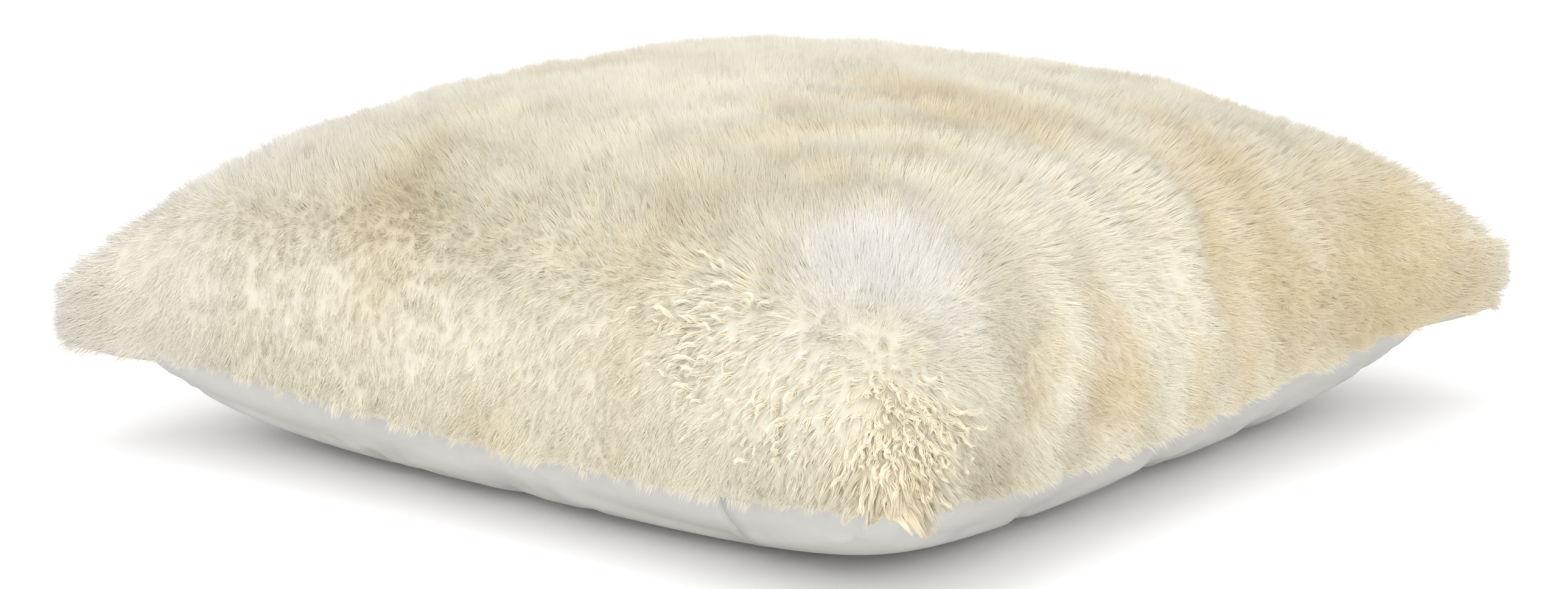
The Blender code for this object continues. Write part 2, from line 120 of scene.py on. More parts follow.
def makeStudio():
    world = bpy.data.worlds.new("studio")
    bpy.context.scene.world = world
    world.use_nodes = True
    background = world.node_tree.nodes["Background"]
    background.inputs["Color"].default_value = (1.0, 1.0, 1.0, 1.0)
    background.inputs["Strength"].default_value = studio["world"]
    bpy.context.scene.view_settings.view_transform = "Standard"
    bpy.ops.mesh.primitive_plane_add(size=studio["floorSize"], location=(0.0, 0.0, 0.0))
    floor = bpy.context.object
    floor.name = "floor"
    plain = bpy.data.materials.new("paleFloor")
    plain.use_nodes = True
    shader = plain.node_tree.nodes["Principled BSDF"]
    shader.inputs["Base Color"].default_value = (*studio["floor"], 1.0)
    shader.inputs["Roughness"].default_value = 0.9
    shader.inputs["Specular IOR Level"].default_value = 0.1
    floor.data.materials.append(plain)
    for name, place, size, power in studio["lights"]:
        bpy.ops.object.light_add(type="AREA", location=place)
        lamp = bpy.context.object
        lamp.name = name
        lamp.data.energy = power
        lamp.data.size = size
        away = Vector(place) - Vector(studio["aim"])
        lamp.rotation_euler = away.to_track_quat("Z", "Y").to_euler()


makeStudio()
stageDone("camera and studio")


# Node helpers


class Wire:  # a socket that can be used in sums, which adds their Math nodes
    def __init__(self, tree, socket):
        self.tree, self.socket = tree, socket

    def maths(self, operation, other, swapped=False):
        node = self.tree.nodes.new("ShaderNodeMath")
        node.operation = operation
        values = (other, self) if swapped else (self, other)
        for slot, value in zip(node.inputs, values):
            if isinstance(value, Wire):
                self.tree.links.new(value.socket, slot)
            else:
                slot.default_value = value
        return Wire(self.tree, node.outputs[0])

    def __add__(self, other):
        return self.maths("ADD", other)

    def __sub__(self, other):
        return self.maths("SUBTRACT", other)

    def __rsub__(self, other):
        return self.maths("SUBTRACT", other, swapped=True)

    def __mul__(self, other):
        return self.maths("MULTIPLY", other)

    __radd__ = __add__
    __rmul__ = __mul__


finishes = {}


class Finish:  # a material and its node tree
    def __init__(self, name):
        self.material = finishes[name] = bpy.data.materials.new(name)
        self.material.use_nodes = True
        self.tree = self.material.node_tree
        self.shader = self.tree.nodes["Principled BSDF"]

    def join(self, value, slot):
        if isinstance(value, Wire):
            self.tree.links.new(value.socket, slot)
        else:
            slot.default_value = value

    def node(self, kind, settings=None, output=0, **sockets):  # i3 is socket 3, other words are names
        made = self.tree.nodes.new(kind)
        for key, value in (settings or {}).items():
            setattr(made, key, value)
        for key, value in sockets.items():
            numbered = key[0] == "i" and key[1:].isdigit()
            self.join(value, made.inputs[int(key[1:])] if numbered else made.inputs[key])
        return Wire(self.tree, made.outputs[output])

    def position(self):
        return self.node("ShaderNodeTexCoord", output="Object")

    def attribute(self, name):
        return self.node("ShaderNodeAttribute", {"attribute_name": name}, output="Fac")

    def noise(self, where, scale, detail=2.0, rough=0.5):
        return self.node("ShaderNodeTexNoise", Vector=where, Scale=scale, Detail=detail, Roughness=rough)

    def ramp(self, value, low, high, bottom=0.0, top=1.0):
        settings = {"interpolation_type": "SMOOTHSTEP"}
        return self.node("ShaderNodeMapRange", settings, i0=value, i1=low, i2=high, i3=bottom, i4=top)

    def mix(self, share, first, second):
        return self.node("ShaderNodeMix", {"data_type": "RGBA"}, output=2, i0=share, i6=first, i7=second)

    def bump(self, height, strength, distance):
        return self.node("ShaderNodeBump", Height=height, Strength=strength, Distance=distance)

    def set(self, **sockets):
        names = {"colour": "Base Color", "rough": "Roughness", "normal": "Normal", "metal": "Metallic",
                 "sheen": "Sheen Weight", "sheenRough": "Sheen Roughness", "specular": "Specular IOR Level"}
        for key, value in sockets.items():
            self.join(value, self.shader.inputs[names[key]])
        return self.material


# Shape of the cushion: p and q run from -1 to 1 across it, evenly over the cloth, and u and v
# are the same places as seen from above

shape = {
    "half": 0.285,
    "pull": 0.016,  # how far each side is drawn in between the corners
    "pullStart": 0.70,
    "cornerHeight": 0.0765,
    "cornerTwist": 0.0065,
    "seamSag": 0.020,
    "crown": 0.190,
    "topPower": 2.9,
    "topRoot": 0.43,
    "bellyPower": 3.0,
    "bellyRoot": 0.33,
    "bellyFull": 1.15,
}
softWaves = {"count": 7, "spread": 0.55, "level": 2.6}


def between(value, start, end=1.0):  # a smooth rise from 0 at the start to 1 at the end
    t = np.clip((value - start) / (end - start), 0.0, 1.0)
    return t * t * (3 - 2 * t)


def unit(vectors):
    return vectors / np.maximum(np.linalg.norm(vectors, axis=-1, keepdims=True), 1e-9)


def fromAbove(value):
    return np.sin(np.pi / 2 * value)


def acrossCloth(distance):
    return 2 / np.pi * np.arcsin(distance / shape["half"])


def drawnIn(a, b):
    pull = shape["pull"] * (1 - b * b) * between(np.abs(a), shape["pullStart"])
    return shape["half"] * a - np.sign(a) * pull


def seamHeight(u, v):
    return shape["cornerHeight"] - shape["seamSag"] * (1 - (u * v) ** 2) + shape["cornerTwist"] * u * v


def swell(u, v, power, root):
    return np.maximum((1 - np.abs(u) ** power) * (1 - np.abs(v) ** power), 0.0) ** root


def topPoint(p, q):
    u, v = fromAbove(p), fromAbove(q)
    rise = (shape["crown"] - seamHeight(0.0, 0.0)) * swell(u, v, shape["topPower"], shape["topRoot"])
    return np.stack([drawnIn(u, v), drawnIn(v, u), seamHeight(u, v) + rise], axis=-1)


def topNormal(p, q, step=0.004):
    p, q = np.clip(p, -0.995, 0.995), np.clip(q, -0.995, 0.995)
    across = topPoint(p + step, q) - topPoint(p - step, q)
    along = topPoint(p, q + step) - topPoint(p, q - step)
    return unit(np.cross(across, along))


def softNoise(places, size, seed):  # three smooth random numbers, mostly from -1 to 1, at each place
    rng = np.random.default_rng(seed)
    total = np.zeros_like(places)
    for _ in range(softWaves["count"]):
        waves = rng.normal(size=(3, 3)) * 2 * np.pi / size * softWaves["spread"]
        phase = rng.uniform(0, 2 * np.pi, 3)
        total += np.sin(places @ waves + phase)
    return total / softWaves["level"]


# Wool

right, up = np.array([0.786, 0.618, 0.0]), np.array([-0.138, 0.175, 0.975])

wool = {
    "strands": 500000,
    "seamward": 40000,
    "seamBand": 0.05,
    "pieces": 10,
    "fieldLines": 441,
    "feltLines": 170,
    "felt": 0.0138,
    "feltLift": 0.0006,
    "rootDepth": 0.0098,
    "cornerFelt": 0.008,
    "cornerLonger": 0.15,
    "cornerRise": 0.011,
    "edgeShorter": 0.22,
    "skirt": (0.009, 0.010),  # how far it hangs below the seam, and how much further at the corners
    "frontSkirtLess": 0.85,
    "length": 0.0158,
    "lengthSpread": 0.13,
    "width": 0.00072,
    "widthRange": (0.6, 1.25),
    "upright": 0.75,
    "cornerUpright": 0.5,
    "edgeFan": (-1.0, 0.4, 0.9),  # lowest, highest, share
    "frontFanLess": 0.75,
    "clumps": [(5200, 0.06, 0.30, 21), (26000, 0.27, 0.28, 22)],  # how many, pull, spread, seed
    "clumpLength": 0.24,
    "clumpPull": (0.7, 0.85),  # how much the clumped field adds, and the most
    "clumpShade": (0.15, 0.4),
    "loose": 0.22,
    "softNormal": 0.15,
    "softLift": 0.018,
    "softShare": 0.75,
    "fieldBroad": (0.13, 3),  # size, seed
    "fieldSmall": (0.048, 4),
    "reliefs": [(0.060, 0.0030, 5), (0.021, 0.0013, 6)],  # size, height, seed
    "edgeRelief": 0.6,
    "edgeStart": 0.80,
    "edgeLean": (0.72, -0.10, -0.25),  # share, fall at the sides, further fall at the corners
    "cornerStart": 0.82,
    "nearCorner": (0.62, 0.92),
    "rimStart": 0.955,
    "combReach": 0.3,
    "combOut": 0.40,
    "combBroad": 0.09,
    "combSmall": 0.15,
    "combDown": 0.06,
    "toneBroad": 0.12,
    "toneSmall": 0.08,
    "crownTan": (0.16, 0.150, 0.195),  # how much, from which height, to which height
    "clumped": (0.16, 0.10),
    "swirl": (0.222, -0.217, 0.159),
    "swirlRise": (0.005, 0.055),  # height, reach
    "ripple": (0.056, 0.0010),  # spacing, height
    "rippleStray": 0.016,
    # painted shade: the rings are darker in their partings and paler on their ridges, in step with their
    # height
    "ripplePaintedShade": 0.13,
    "rippleComb": (0.25, 0.30),
    "rippleStart": (0.06, 0.12),
    "rippleEnd": (0.40, 0.20),
    "rippleWay": (0.3, 0.95, 0.25),
    "rippleTurn": (-0.15, 0.45),
    "combHold": 0.75,
    # place, reach, combed right, combed up, outward, clumped, tone
    "features": [
        # the first two rows make the swirl paler: partly the wool's own whiter colour, partly a painted
        # highlight where the light falls brightest
        ((0.222, -0.217, 0.159), 0.048, 0.0, 0.1, 0.12, 0.10, 1.05),
        ((0.205, -0.190, 0.170), 0.044, -0.1, 0.3, 0.12, 0.10, 0.65),
        ((0.137, -0.265, 0.140), 0.034, -1.3, -0.1, 0.0, 0.75, 0.10),
        ((0.170, -0.280, 0.122), 0.034, -1.1, -0.7, 0.0, 0.75, 0.10),
        ((0.215, -0.288, 0.105), 0.030, -0.5, -1.2, 0.0, 0.70, -0.10),
        ((0.287, -0.274, 0.102), 0.040, 0.2, -0.5, 0.4, 0.60, -0.06),
        ((0.300, -0.296, 0.080), 0.036, 0.0, -0.7, 0.3, 0.60, -0.04),
        ((0.270, -0.250, 0.125), 0.020, -0.2, 0.2, 0.4, 0.40, 0.05),
        ((-0.060, -0.280, 0.120), 0.070, 0.9, -0.4, 0.0, 0.22, -0.05),
        ((-0.170, -0.284, 0.116), 0.090, 0.9, -0.3, 0.0, 0.22, -0.10),
        ((0.060, -0.285, 0.110), 0.060, 0.5, -0.7, 0.0, 0.35, 0.00),
        ((0.241, -0.017, 0.167), 0.040, 0.9, 0.3, 0.0, 0.40, 0.40),
        ((0.215, -0.075, 0.180), 0.032, 0.8, 0.5, 0.0, 0.40, 0.35),
        ((0.277, -0.020, 0.120), 0.044, 1.1, 0.0, 0.0, 0.55, 0.30),
        ((0.288, 0.122, 0.098), 0.034, -0.9, 0.4, 0.0, 0.65, -0.55),
        ((0.285, -0.090, 0.105), 0.032, 0.3, -0.3, 0.0, 0.20, -0.65),
        ((0.285, -0.075, 0.085), 0.024, 0.2, -0.3, 0.0, 0.20, -0.55),
        ((0.255, 0.090, 0.150), 0.090, 0.3, 0.2, 0.0, 0.10, -0.50),
        ((0.060, -0.255, 0.140), 0.080, 0.1, 0.0, 0.0, 0.05, 0.22),
        ((0.290, 0.220, 0.100), 0.065, 0.2, 0.0, 0.0, 0.05, -0.75),
        ((0.300, 0.265, 0.095), 0.040, 0.9, 0.2, 0.0, 0.20, 0.20),
        ((-0.012, -0.134, 0.204), 0.050, -0.3, 0.3, 0.0, 0.20, 0.35),
    ],
}


def edgeFields(p, q, u, v):  # how near each place is to the sides, the corners and the seam
    start, (nearStart, nearEnd) = wool["cornerStart"], wool["nearCorner"]
    edgeU, edgeV = (between(np.abs(part), wool["edgeStart"]) for part in (u, v))
    corner = between(np.abs(u), start) * between(np.abs(v), start)
    nearCorner = between(np.abs(u), nearStart, nearEnd) * between(np.abs(v), nearStart, nearEnd)
    front = nearCorner * (u > 0) * (v < 0)
    rim = between(np.maximum(np.abs(p), np.abs(q)), wool["rimStart"])
    return edgeU, edgeV, corner, nearCorner, front, rim


def ripples(place, stray):  # painted shade of the rings behind the swirl (darker in their partings, paler on their ridges), their comb and height, and the swirl's own rise
    spacing, height = wool["ripple"]
    away = place - np.array(wool["swirl"])
    distance = np.linalg.norm(away, axis=-1)
    share = between(distance, *wool["rippleStart"]) * between(distance, *wool["rippleEnd"])
    share = share * between(away @ np.array(wool["rippleWay"]) / distance, *wool["rippleTurn"])
    wave = np.sin(2 * np.pi * (distance + wool["rippleStray"] * stray) / spacing)
    steady, swing = wool["rippleComb"]
    push = unit(away) * (steady + swing * np.cos(2 * np.pi * distance / spacing))[..., None]
    rise, reach = wool["swirlRise"]
    relief = height * wave * share + rise * np.exp(-(distance / reach) ** 2)
    return wool["ripplePaintedShade"] * wave * share, push * share[..., None], relief


def makeFields():
    lines = np.linspace(-1, 1, wool["fieldLines"])
    p, q = np.meshgrid(lines, lines, indexing="ij")
    u, v = fromAbove(p), fromAbove(q)
    place, facing = topPoint(p, q), topNormal(p, q)
    edgeU, edgeV, corner, nearCorner, front, rim = edgeFields(p, q, u, v)
    edge = np.maximum(edgeU, edgeV)

    # the wool leans outwards at the sides
    lean, fall, cornerFall = wool["edgeLean"]
    outward = [np.sign(u) * edgeU, np.sign(v) * edgeV, fall + cornerFall * edgeU * edgeV]
    share = (edge * lean)[..., None]
    facing = unit(facing * (1 - share) + unit(np.stack(outward, axis=-1)) * share)

    flat = place.reshape(-1, 3)
    broad, small = (softNoise(flat, *wool[key]).reshape(place.shape) for key in ("fieldBroad", "fieldSmall"))
    out = place * np.array([1.0, 1.0, 0.0]) / wool["combReach"]
    comb = out * wool["combOut"] + broad * wool["combBroad"] + small * wool["combSmall"]
    comb[..., 2] -= wool["combDown"]
    tone = broad[..., 1] * wool["toneBroad"] + small[..., 1] * wool["toneSmall"]
    tan, tanStart, tanEnd = wool["crownTan"]
    tone -= tan * between(place[..., 2], tanStart, tanEnd)
    clumped = wool["clumped"][0] + wool["clumped"][1] * broad[..., 2]
    for centre, reach, toRight, toUp, outwards, clump, light in wool["features"]:
        away = place - np.array(centre)
        weight = np.exp(-(np.linalg.norm(away, axis=-1) / reach) ** 2)
        push = right * toRight + up * toUp + away / reach * outwards
        comb *= (1 - wool["combHold"] * weight)[..., None]
        comb += push * weight[..., None] * wool["combHold"]
        tone += light * weight
        clumped += clump * weight

    # the rings add painted shade and light to the tone
    ripplePaintedShade, rippleComb, relief = ripples(place, broad[..., 0])
    tone += ripplePaintedShade
    comb += rippleComb
    comb -= facing * np.sum(comb * facing, axis=-1, keepdims=True)
    for size, height, seed in wool["reliefs"]:
        relief += softNoise(flat, size, seed)[:, 0].reshape(p.shape) * height / 2
    relief *= 1 - wool["edgeRelief"] * edge

    skirt, cornerSkirt = wool["skirt"]
    hang = rim * (skirt + cornerSkirt * nearCorner) * (1 - wool["frontSkirtLess"] * front)
    place[..., 2] += wool["cornerRise"] * nearCorner * (1 - rim)

    raised = place + facing * (wool["softLift"] + relief)[..., None]
    soft = unit(np.cross(np.gradient(raised, axis=0), np.gradient(raised, axis=1)))
    soft = unit(soft * wool["softShare"] + facing * (1 - wool["softShare"]))
    made = {"place": place, "facing": facing, "comb": comb, "soft": soft, "tone": tone,
            "clumped": np.clip(clumped, 0.05, 0.95), "relief": relief, "edge": edge, "corner": corner,
            "hang": hang, "front": front}
    return {name: grid if grid.ndim == 3 else grid[..., None] for name, grid in made.items()}


def readGrid(grid, p, q):  # values between the grid's points
    count = grid.shape[0]
    x, y = (np.clip((value + 1) / 2 * (count - 1), 0, count - 1.0001) for value in (p, q))
    i, j = x.astype(int), y.astype(int)
    a, b = (x - i)[..., None], (y - j)[..., None]
    return (grid[i, j] * (1 - a) * (1 - b) + grid[i + 1, j] * a * (1 - b)
            + grid[i, j + 1] * (1 - a) * b + grid[i + 1, j + 1] * a * b)


fields = makeFields()
stageDone("wool fields")


def sample(name, p, q):
    values = readGrid(fields[name], p, q)
    return values if values.shape[-1] == 3 else values[..., 0]


def scatter(count, rng):  # random p and q, spread evenly over the top's area
    place = fields["place"]
    cells = place.shape[0] - 1
    a, b = place[1:, :-1] - place[:-1, :-1], place[:-1, 1:] - place[:-1, :-1]
    area = np.linalg.norm(np.cross(a, b), axis=-1).ravel()
    chosen = rng.choice(area.size, size=count, p=area / area.sum())
    i, j = np.divmod(chosen, cells)
    return (i + rng.random(count)) * 2 / cells - 1, (j + rng.random(count)) * 2 / cells - 1


def alongSeam(count, rng):  # random p and q close to the seam
    walk = rng.uniform(-1, 1, count)
    edge = 1 - wool["seamBand"] * rng.random(count) ** 2
    side = rng.integers(0, 4, count)
    p = np.select([side == 0, side == 1], [edge, -edge], walk)
    q = np.select([side == 2, side == 3], [edge, -edge], walk)
    return p, q


def nearestOf(places, centres):
    tree = kdtree.KDTree(len(centres))
    for index, centre in enumerate(centres.tolist()):
        tree.insert(centre, index)
    tree.balance()
    return np.array([tree.find(place)[1] for place in places.tolist()])


def growStrand(p, q, lengths, spread, rng):  # root and tip of the strands, which fan out at the seam
    facing, comb = sample("facing", p, q), sample("comb", p, q)
    edge, corner, front = (sample(name, p, q)[:, None] for name in ("edge", "corner", "front"))
    low = sample("place", p, q) + facing * (wool["rootDepth"] + sample("relief", p, q))[:, None]
    lowest, highest, share = wool["edgeFan"]
    fan = rng.uniform(lowest, highest, (len(p), 1)) * edge * share
    fan += rng.uniform(-1.0, 1.0, (len(p), 1)) * corner
    fan *= 1 - wool["frontFanLess"] * front
    comb = comb + spread + np.array([0.0, 0.0, 1.0]) * fan
    low = low + facing * wool["cornerFelt"] * corner
    low[:, 2] -= sample("hang", p, q) * rng.random(len(p))
    reach = lengths[:, None] * (1 + wool["cornerLonger"] * corner - wool["edgeShorter"] * edge * (1 - corner))
    return low, low + unit(facing * (wool["upright"] + wool["cornerUpright"] * corner) + comb) * reach


def gather(low, tip, clumped):  # neighbouring tips are pulled together, and each clump has its own shade
    shade = np.zeros(len(low))
    more, most = wool["clumpPull"]
    steady, varied = wool["clumpShade"]
    for count, share, spread, seed in wool["clumps"]:
        rng = np.random.default_rng(seed)
        p, q = scatter(count, rng)
        size = wool["length"] * (1 + wool["clumpLength"] * rng.normal(size=count).clip(-1.4, 1.9))
        clumpLow, clumpTip = growStrand(p, q, size, unit(rng.normal(size=(count, 3))) * spread, rng)
        owner = nearestOf(low, clumpLow)
        pull = np.clip(share + clumped * more, 0.0, most) * rng.uniform(0.6, 1.0, count)[owner]
        tip += (clumpTip[owner] - tip) * pull[:, None]
        shade += (rng.random(count)[owner] - 0.5) * (steady + varied * clumped)
    return shade


def spokes(sideways, other):  # three ways out from the middle of a three-sided strand
    turns = (2 * np.pi / 3 * number for number in range(3))
    return [sideways * np.cos(turn) + other * np.sin(turn) for turn in turns]


def meshFromStrands(name, points, corners, attributes, normals):
    count, each = points.shape[:2]
    mesh = bpy.data.meshes.new(name)
    mesh.vertices.add(count * each)
    mesh.vertices.foreach_set("co", points.astype(np.float32).ravel())
    loops = (np.arange(count)[:, None] * each + np.array(corners)).ravel().astype(np.int32)
    mesh.loops.add(len(loops))
    mesh.loops.foreach_set("vertex_index", loops)
    mesh.polygons.add(len(loops) // 3)
    mesh.polygons.foreach_set("loop_start", np.arange(0, len(loops), 3, dtype=np.int32))
    mesh.update()
    for label, values in attributes.items():
        made = mesh.attributes.new(label, "FLOAT", "POINT")
        made.data.foreach_set("value", values.astype(np.float32).ravel())
    mesh.shade_smooth()
    leaning = mesh.attributes.new("custom_normal", "FLOAT_VECTOR", "POINT")
    leaning.data.foreach_set("vector", normals.astype(np.float32).ravel())
    mesh.materials.append(woolFinish("woolFibres", 1.0))
    piece = bpy.data.objects.new(name, mesh)
    bpy.context.scene.collection.objects.link(piece)
    return piece


def makeStrands():
    rng = np.random.default_rng(11)
    inner, seamward = scatter(wool["strands"], rng), alongSeam(wool["seamward"], rng)
    p, q = (np.concatenate(pair) for pair in zip(inner, seamward))
    total = len(p)
    lengths = wool["length"] * (1 + wool["lengthSpread"] * rng.normal(size=total).clip(-2.0, 1.6))
    low, tip = growStrand(p, q, lengths, unit(rng.normal(size=(total, 3))) * wool["loose"], rng)
    shade = rng.random(total) * 0.45 + gather(low, tip, sample("clumped", p, q))
    stageDone("wool laid out")

    # a strand is a thin three-sided point
    away, soft, tone = unit(tip - low), sample("soft", p, q), sample("tone", p, q)
    sideways = unit(np.cross(away, unit(rng.normal(size=(total, 3)))))
    radius = wool["width"] * rng.uniform(*wool["widthRange"], (total, 1)) / 2
    ways = spokes(sideways, np.cross(away, sideways))
    softly = wool["softNormal"]
    points = np.stack([low + way * radius for way in ways] + [tip], axis=1)
    normals = np.stack([unit(soft * softly + way * (1 - softly)) for way in ways] + [soft], axis=1)

    made = []
    corners = [0, 1, 3, 1, 2, 3, 2, 0, 3]
    order = np.argsort(np.arctan2(low[:, 1], low[:, 0]))
    for index, members in enumerate(np.array_split(order, wool["pieces"]), 1):
        values = {"along": np.tile([0.0, 0.0, 0.0, 1.0], (len(members), 1)),
                  "shade": np.repeat(shade[members], 4), "tone": np.repeat(tone[members], 4)}
        name = f"woolStrands_{index}"
        made.append(meshFromStrands(name, points[members], corners, values, normals[members]))
    return made


locks = {
    "clumps": 330,
    "each": 15,
    "length": 0.0195,
    "lengthRange": (0.7, 1.15),
    "spread": 0.30,
    "bow": 0.003,
    "tuft": (0.0004, 0.0024),
    "closing": 0.65,
    "curl": 0.0019,
    "turns": 1.1,
    "turnSpread": 0.35,
    "width": 0.00052,
    "taper": 0.16,
    "softNormal": 0.3,
    "gridDepth": 0.012,
    "rings": (0.0, 0.3, 0.55, 0.8, 1.0),  # shares of the length
    # place, reach, share of the clumps
    "places": [
        ((0.284, -0.268, 0.110), 0.022, 0.55),
        ((0.150, -0.270, 0.130), 0.026, 0.22),
        ((0.205, -0.285, 0.108), 0.026, 0.23),
    ],
}


def placeLocks(rng):  # p and q of each lock, on the grid of the fields
    grid = fields["place"] + fields["facing"] * locks["gridDepth"]
    chosen = []
    for place, reach, share in locks["places"]:
        weight = np.exp(-(np.linalg.norm(grid - np.array(place), axis=-1) / reach) ** 2).ravel()
        size = int(locks["clumps"] * share)
        chosen.append(rng.choice(weight.size, size=size, p=weight / weight.sum(), replace=False))
    i, j = np.divmod(np.concatenate(chosen), grid.shape[1])
    cells = grid.shape[0] - 1
    return i * 2 / cells - 1, j * 2 / cells - 1


def makeLocks():  # tufts of longer strands that wind together towards their ends
    rng = np.random.default_rng(41)
    each, rings = locks["each"], locks["rings"]
    p, q = (np.repeat(part, each) for part in placeLocks(rng))
    total = len(p)
    count = total // each
    spread = np.repeat(unit(rng.normal(size=(count, 3))) * locks["spread"], each, axis=0)
    lengths = np.repeat(locks["length"] * rng.uniform(*locks["lengthRange"], count), each)
    low, tip = growStrand(p, q, lengths, spread, np.random.default_rng(42))
    facing, soft = sample("facing", p, q), sample("soft", p, q)
    first = np.repeat(np.arange(0, total, each), each)
    middle = ((low + tip) / 2 + facing * locks["bow"])[first]
    low, tip = low[first], tip[first]
    start = unit(rng.normal(size=(total, 3))) * rng.uniform(*locks["tuft"], (total, 1))
    away = unit(tip - low)
    sideways = unit(np.cross(away, facing))
    other = np.cross(away, sideways)
    phase = np.repeat(rng.uniform(0, 2 * np.pi, count), each) + rng.normal(size=total) * locks["turnSpread"]
    centres = []
    for share in rings:
        path = low * (1 - share) ** 2 + middle * 2 * share * (1 - share) + tip * share ** 2
        turn = (phase + share * 2 * np.pi * locks["turns"])[:, None]
        wind = (sideways * np.cos(turn) + other * np.sin(turn)) * locks["curl"] * share ** 0.7
        centres.append(path + wind + start * (1 - locks["closing"] * share))

    points, normals, along = [], [], []
    softly = locks["softNormal"]
    for number, centre in enumerate(centres[:-1]):
        radius = locks["width"] / 2 * (1 - locks["taper"] * number)
        for way in spokes(sideways, other):
            points.append(centre + way * radius)
            normals.append(unit(soft * softly + way * (1 - softly)))
            along.append(number / (len(rings) - 1))
    points = np.stack(points + [centres[-1]], axis=1)
    normals = np.stack(normals + [soft], axis=1)
    corners = []
    last = 3 * (len(rings) - 2)
    for ring in range(0, last, 3):
        for a, b in ((0, 1), (1, 2), (2, 0)):
            corners += [ring + a, ring + b, ring + b + 3, ring + a, ring + b + 3, ring + a + 3]
    for a, b in ((0, 1), (1, 2), (2, 0)):
        corners += [last + a, last + b, last + 3]
    shade = np.repeat(rng.random(count) * 0.7, each) + rng.random(total) * 0.25
    values = {"along": np.tile(along + [1.0], (total, 1)), "shade": np.repeat(shade, last + 4),
              "tone": np.repeat(sample("tone", p, q), last + 4)}
    return meshFromStrands("woolLocks", points, corners, values, normals)


woolLook = {
    "tan": (0.83, 0.695, 0.440),
    "cream": (0.945, 0.880, 0.700),
    "white": (0.985, 0.962, 0.905),
    "root": (0.87, 0.77, 0.57),
    "rosy": (0.90, 0.850, 0.775),
    "paintedShadow": 0.22,  # painted shade: what the colours move towards in the felt under the strands
    # painted shade: the felt under the strands keeps only this share of the wool colours' brightness
    "feltPaintedLight": 0.60,
    "patches": 6.0,
    "streaks": 90.0,
    "rosyX": (-0.10, -0.30),
}


def woolFinish(name, light):
    if name in finishes:
        return finishes[name]
    look = Finish(name)
    # a light below 1 paints shade into the colours, dimming them towards the shadow grey
    paintedShadow = woolLook["paintedShadow"] * (1 - light)
    tan, cream, white, root, rosy = (
        (*(part * light + paintedShadow for part in woolLook[key]), 1.0)
        for key in ("tan", "cream", "white", "root", "rosy"))
    where = look.position()
    along, shade, tone = (look.attribute(label) for label in ("along", "shade", "tone"))
    broad = look.noise(where, woolLook["patches"], 3.0, 0.55)
    streaks = look.noise(where, woolLook["streaks"], 2.0, 0.6)
    warm = broad * 0.9 + streaks * 0.25 - tone * 0.75
    colour = look.mix(look.ramp(warm, 0.50, 1.12), cream, tan)
    x = look.node("ShaderNodeSeparateXYZ", Vector=where)
    colour = look.mix(look.ramp(x, *woolLook["rosyX"]) * 0.75, colour, rosy)
    colour = look.mix(look.ramp(along, 0.75, 0.0) * 0.6, colour, root)
    pale = look.ramp(tone * 0.9 + shade * 0.55 + along * 0.35, 0.55, 1.35)
    colour = look.mix(pale * 0.85, colour, white)
    return look.set(colour=colour, rough=0.9, specular=0.2, sheen=0.5, sheenRough=0.6)


def makeFelt():  # the dense body of the wool, under the strands
    steps = wool["feltLines"]
    bpy.ops.mesh.primitive_grid_add(x_subdivisions=steps, y_subdivisions=steps, size=2.0)
    felt = bpy.context.object
    felt.name = "woolFelt"
    mesh = felt.data
    # the outside is pulled up from the skin, with a wall round its rim
    startEdit(felt)
    bpy.ops.mesh.extrude_region_move(TRANSFORM_OT_translate={"value": (0.0, 0.0, 1.0)})
    endEdit()
    p, q, level = pointsOf(mesh).T
    p, q = np.clip(p, -1, 1), np.clip(q, -1, 1)
    base = topPoint(p, q) + topNormal(p, q) * wool["feltLift"]
    depth = wool["felt"] + sample("relief", p, q) + wool["cornerFelt"] * sample("corner", p, q)
    high = sample("place", p, q) + sample("facing", p, q) * depth[:, None]
    high[:, 2] -= sample("hang", p, q)
    mesh.vertices.foreach_set("co", np.where(level[:, None] > 0.5, high, base).ravel())
    mesh.update()
    startEdit(felt)
    bpy.ops.mesh.normals_make_consistent(inside=False)
    endEdit()
    # the felt's tone is lowered a little as well, more painted shade under the strands
    values = {"along": np.full(len(p), 0.6), "shade": np.zeros(len(p)), "tone": sample("tone", p, q) - 0.1}
    for name, numbers in values.items():
        mesh.attributes.new(name, "FLOAT", "POINT").data.foreach_set("value", numbers.astype(np.float32))
    mesh.shade_smooth()
    # the felt's colours are dimmed with painted shade
    mesh.materials.append(woolFinish("woolBase", woolLook["feltPaintedLight"]))
    return felt


felt = makeFelt()
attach(felt, "cover")
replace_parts(felt, "wool_pile")
for strands in makeStrands() + [makeLocks()]:
    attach(strands, "cover")
stageDone("wool made")


# Cotton underside

